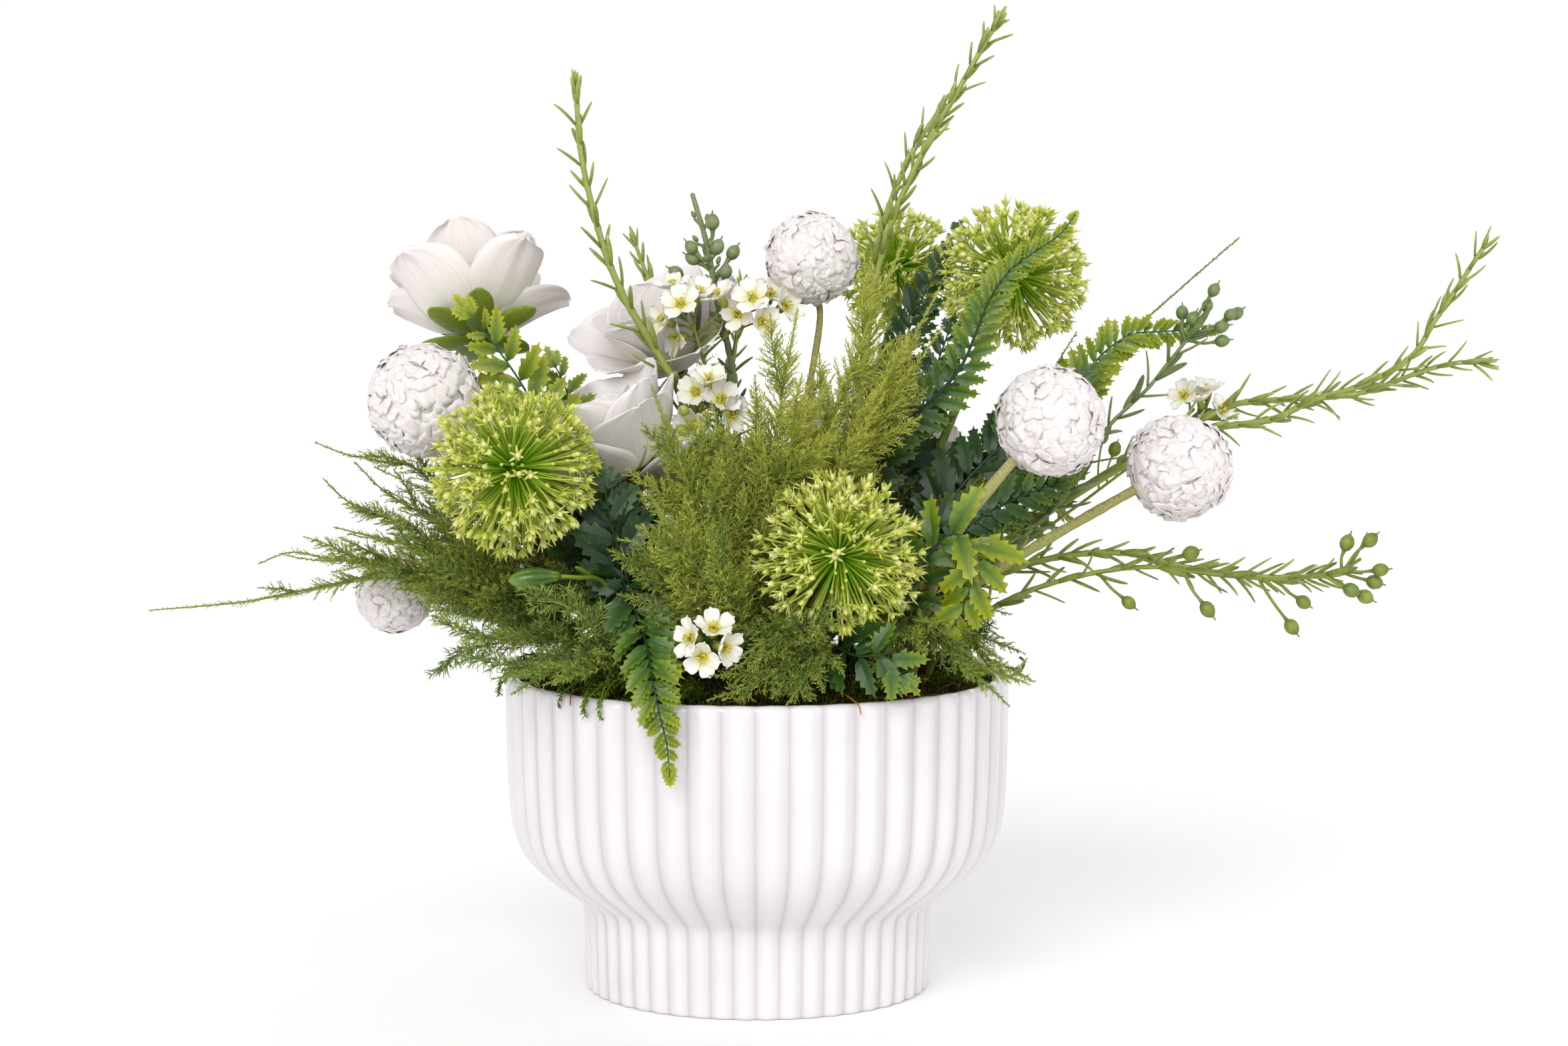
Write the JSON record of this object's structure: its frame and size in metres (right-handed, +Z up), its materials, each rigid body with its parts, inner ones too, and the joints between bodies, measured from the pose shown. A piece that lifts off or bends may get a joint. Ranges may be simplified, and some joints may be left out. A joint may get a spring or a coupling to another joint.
{
  "type": "artificial flower arrangement in a pot",
  "caption": "White fluted footed ceramic pot with an artificial flower arrangement: pompom flowers, allium heads, open white blooms, rosemary and berry sprigs, ferns and moss.",
  "frame": {"origin": "centre of the pot's flat base, on the surface that the pot stands on", "axes": "+Z up along the pot's axis, -Y towards the arrangement's front, +X to the right as seen from the front, along the arrangement's longest extent"},
  "size_m": [0.6371, 0.3148, 0.4592],
  "materials": {
    "white_glaze": "gloss",
    "foam": "matte",
    "moss": "matte",
    "pompom_petals": "matte",
    "olive_stem": "matte",
    "allium_florets": "satin",
    "green_stem": "satin",
    "white_petals": "matte",
    "rosemary_leaf": "satin",
    "berries": "satin",
    "waxflower_petals": "matte",
    "fern_leaf": "gloss",
    "asparagus_needles": "matte",
    "green_bud": "gloss"
  },
  "bodies": {
    "root": {"pot": "white_glaze", "floral_foam": "foam", "moss_bed": "moss", "allium_head_1": "allium_florets", "allium_head_2": "allium_florets", "allium_head_3": "allium_florets", "allium_head_4": "allium_florets", "allium_head_5": "allium_florets", "allium_stem_1": "green_stem", "allium_stem_2": "green_stem", "allium_stem_3": "green_stem", "allium_stem_4": "green_stem", "allium_stem_5": "green_stem", "asparagus_back_left": "asparagus_needles", "asparagus_back_right": "asparagus_needles", "asparagus_centre": "asparagus_needles", "asparagus_front": "asparagus_needles", "asparagus_left": "asparagus_needles", "asparagus_lower_left": "asparagus_needles", "asparagus_right": "asparagus_needles", "berry_sprig_1": "berries", "berry_sprig_2": "berries", "berry_sprig_3": "berries", "bloom_head_1": "white_petals", "bloom_head_2": "white_petals", "bloom_head_3": "white_petals", "bloom_head_4": "white_petals", "bloom_head_5": "white_petals", "bloom_stem_1": "green_stem", "bloom_stem_2": "green_stem", "bloom_stem_3": "green_stem", "bloom_stem_4": "green_stem", "bloom_stem_5": "green_stem", "bud_sprig": "green_bud", "leather_fern_1": "fern_leaf", "leather_fern_2": "fern_leaf", "leather_fern_3": "fern_leaf", "leather_fern_4": "fern_leaf", "leather_fern_5": "fern_leaf", "leather_fern_6": "fern_leaf", "leather_fern_7": "fern_leaf", "leather_fern_8": "fern_leaf", "pompom_head_1": "pompom_petals", "pompom_head_2": "pompom_petals", "pompom_head_3": "pompom_petals", "pompom_head_4": "pompom_petals", "pompom_head_5": "pompom_petals", "pompom_stem_1": "olive_stem", "pompom_stem_2": "olive_stem", "pompom_stem_3": "olive_stem", "pompom_stem_4": "olive_stem", "pompom_stem_5": "olive_stem", "rosemary_1": "rosemary_leaf", "rosemary_2": "rosemary_leaf", "rosemary_3": "rosemary_leaf", "rosemary_4": "rosemary_leaf", "rosemary_5": "rosemary_leaf", "waxflower_sprig_1": "waxflower_petals", "waxflower_sprig_2": "waxflower_petals", "waxflower_sprig_3": "waxflower_petals"}
  },
  "joints": []
}
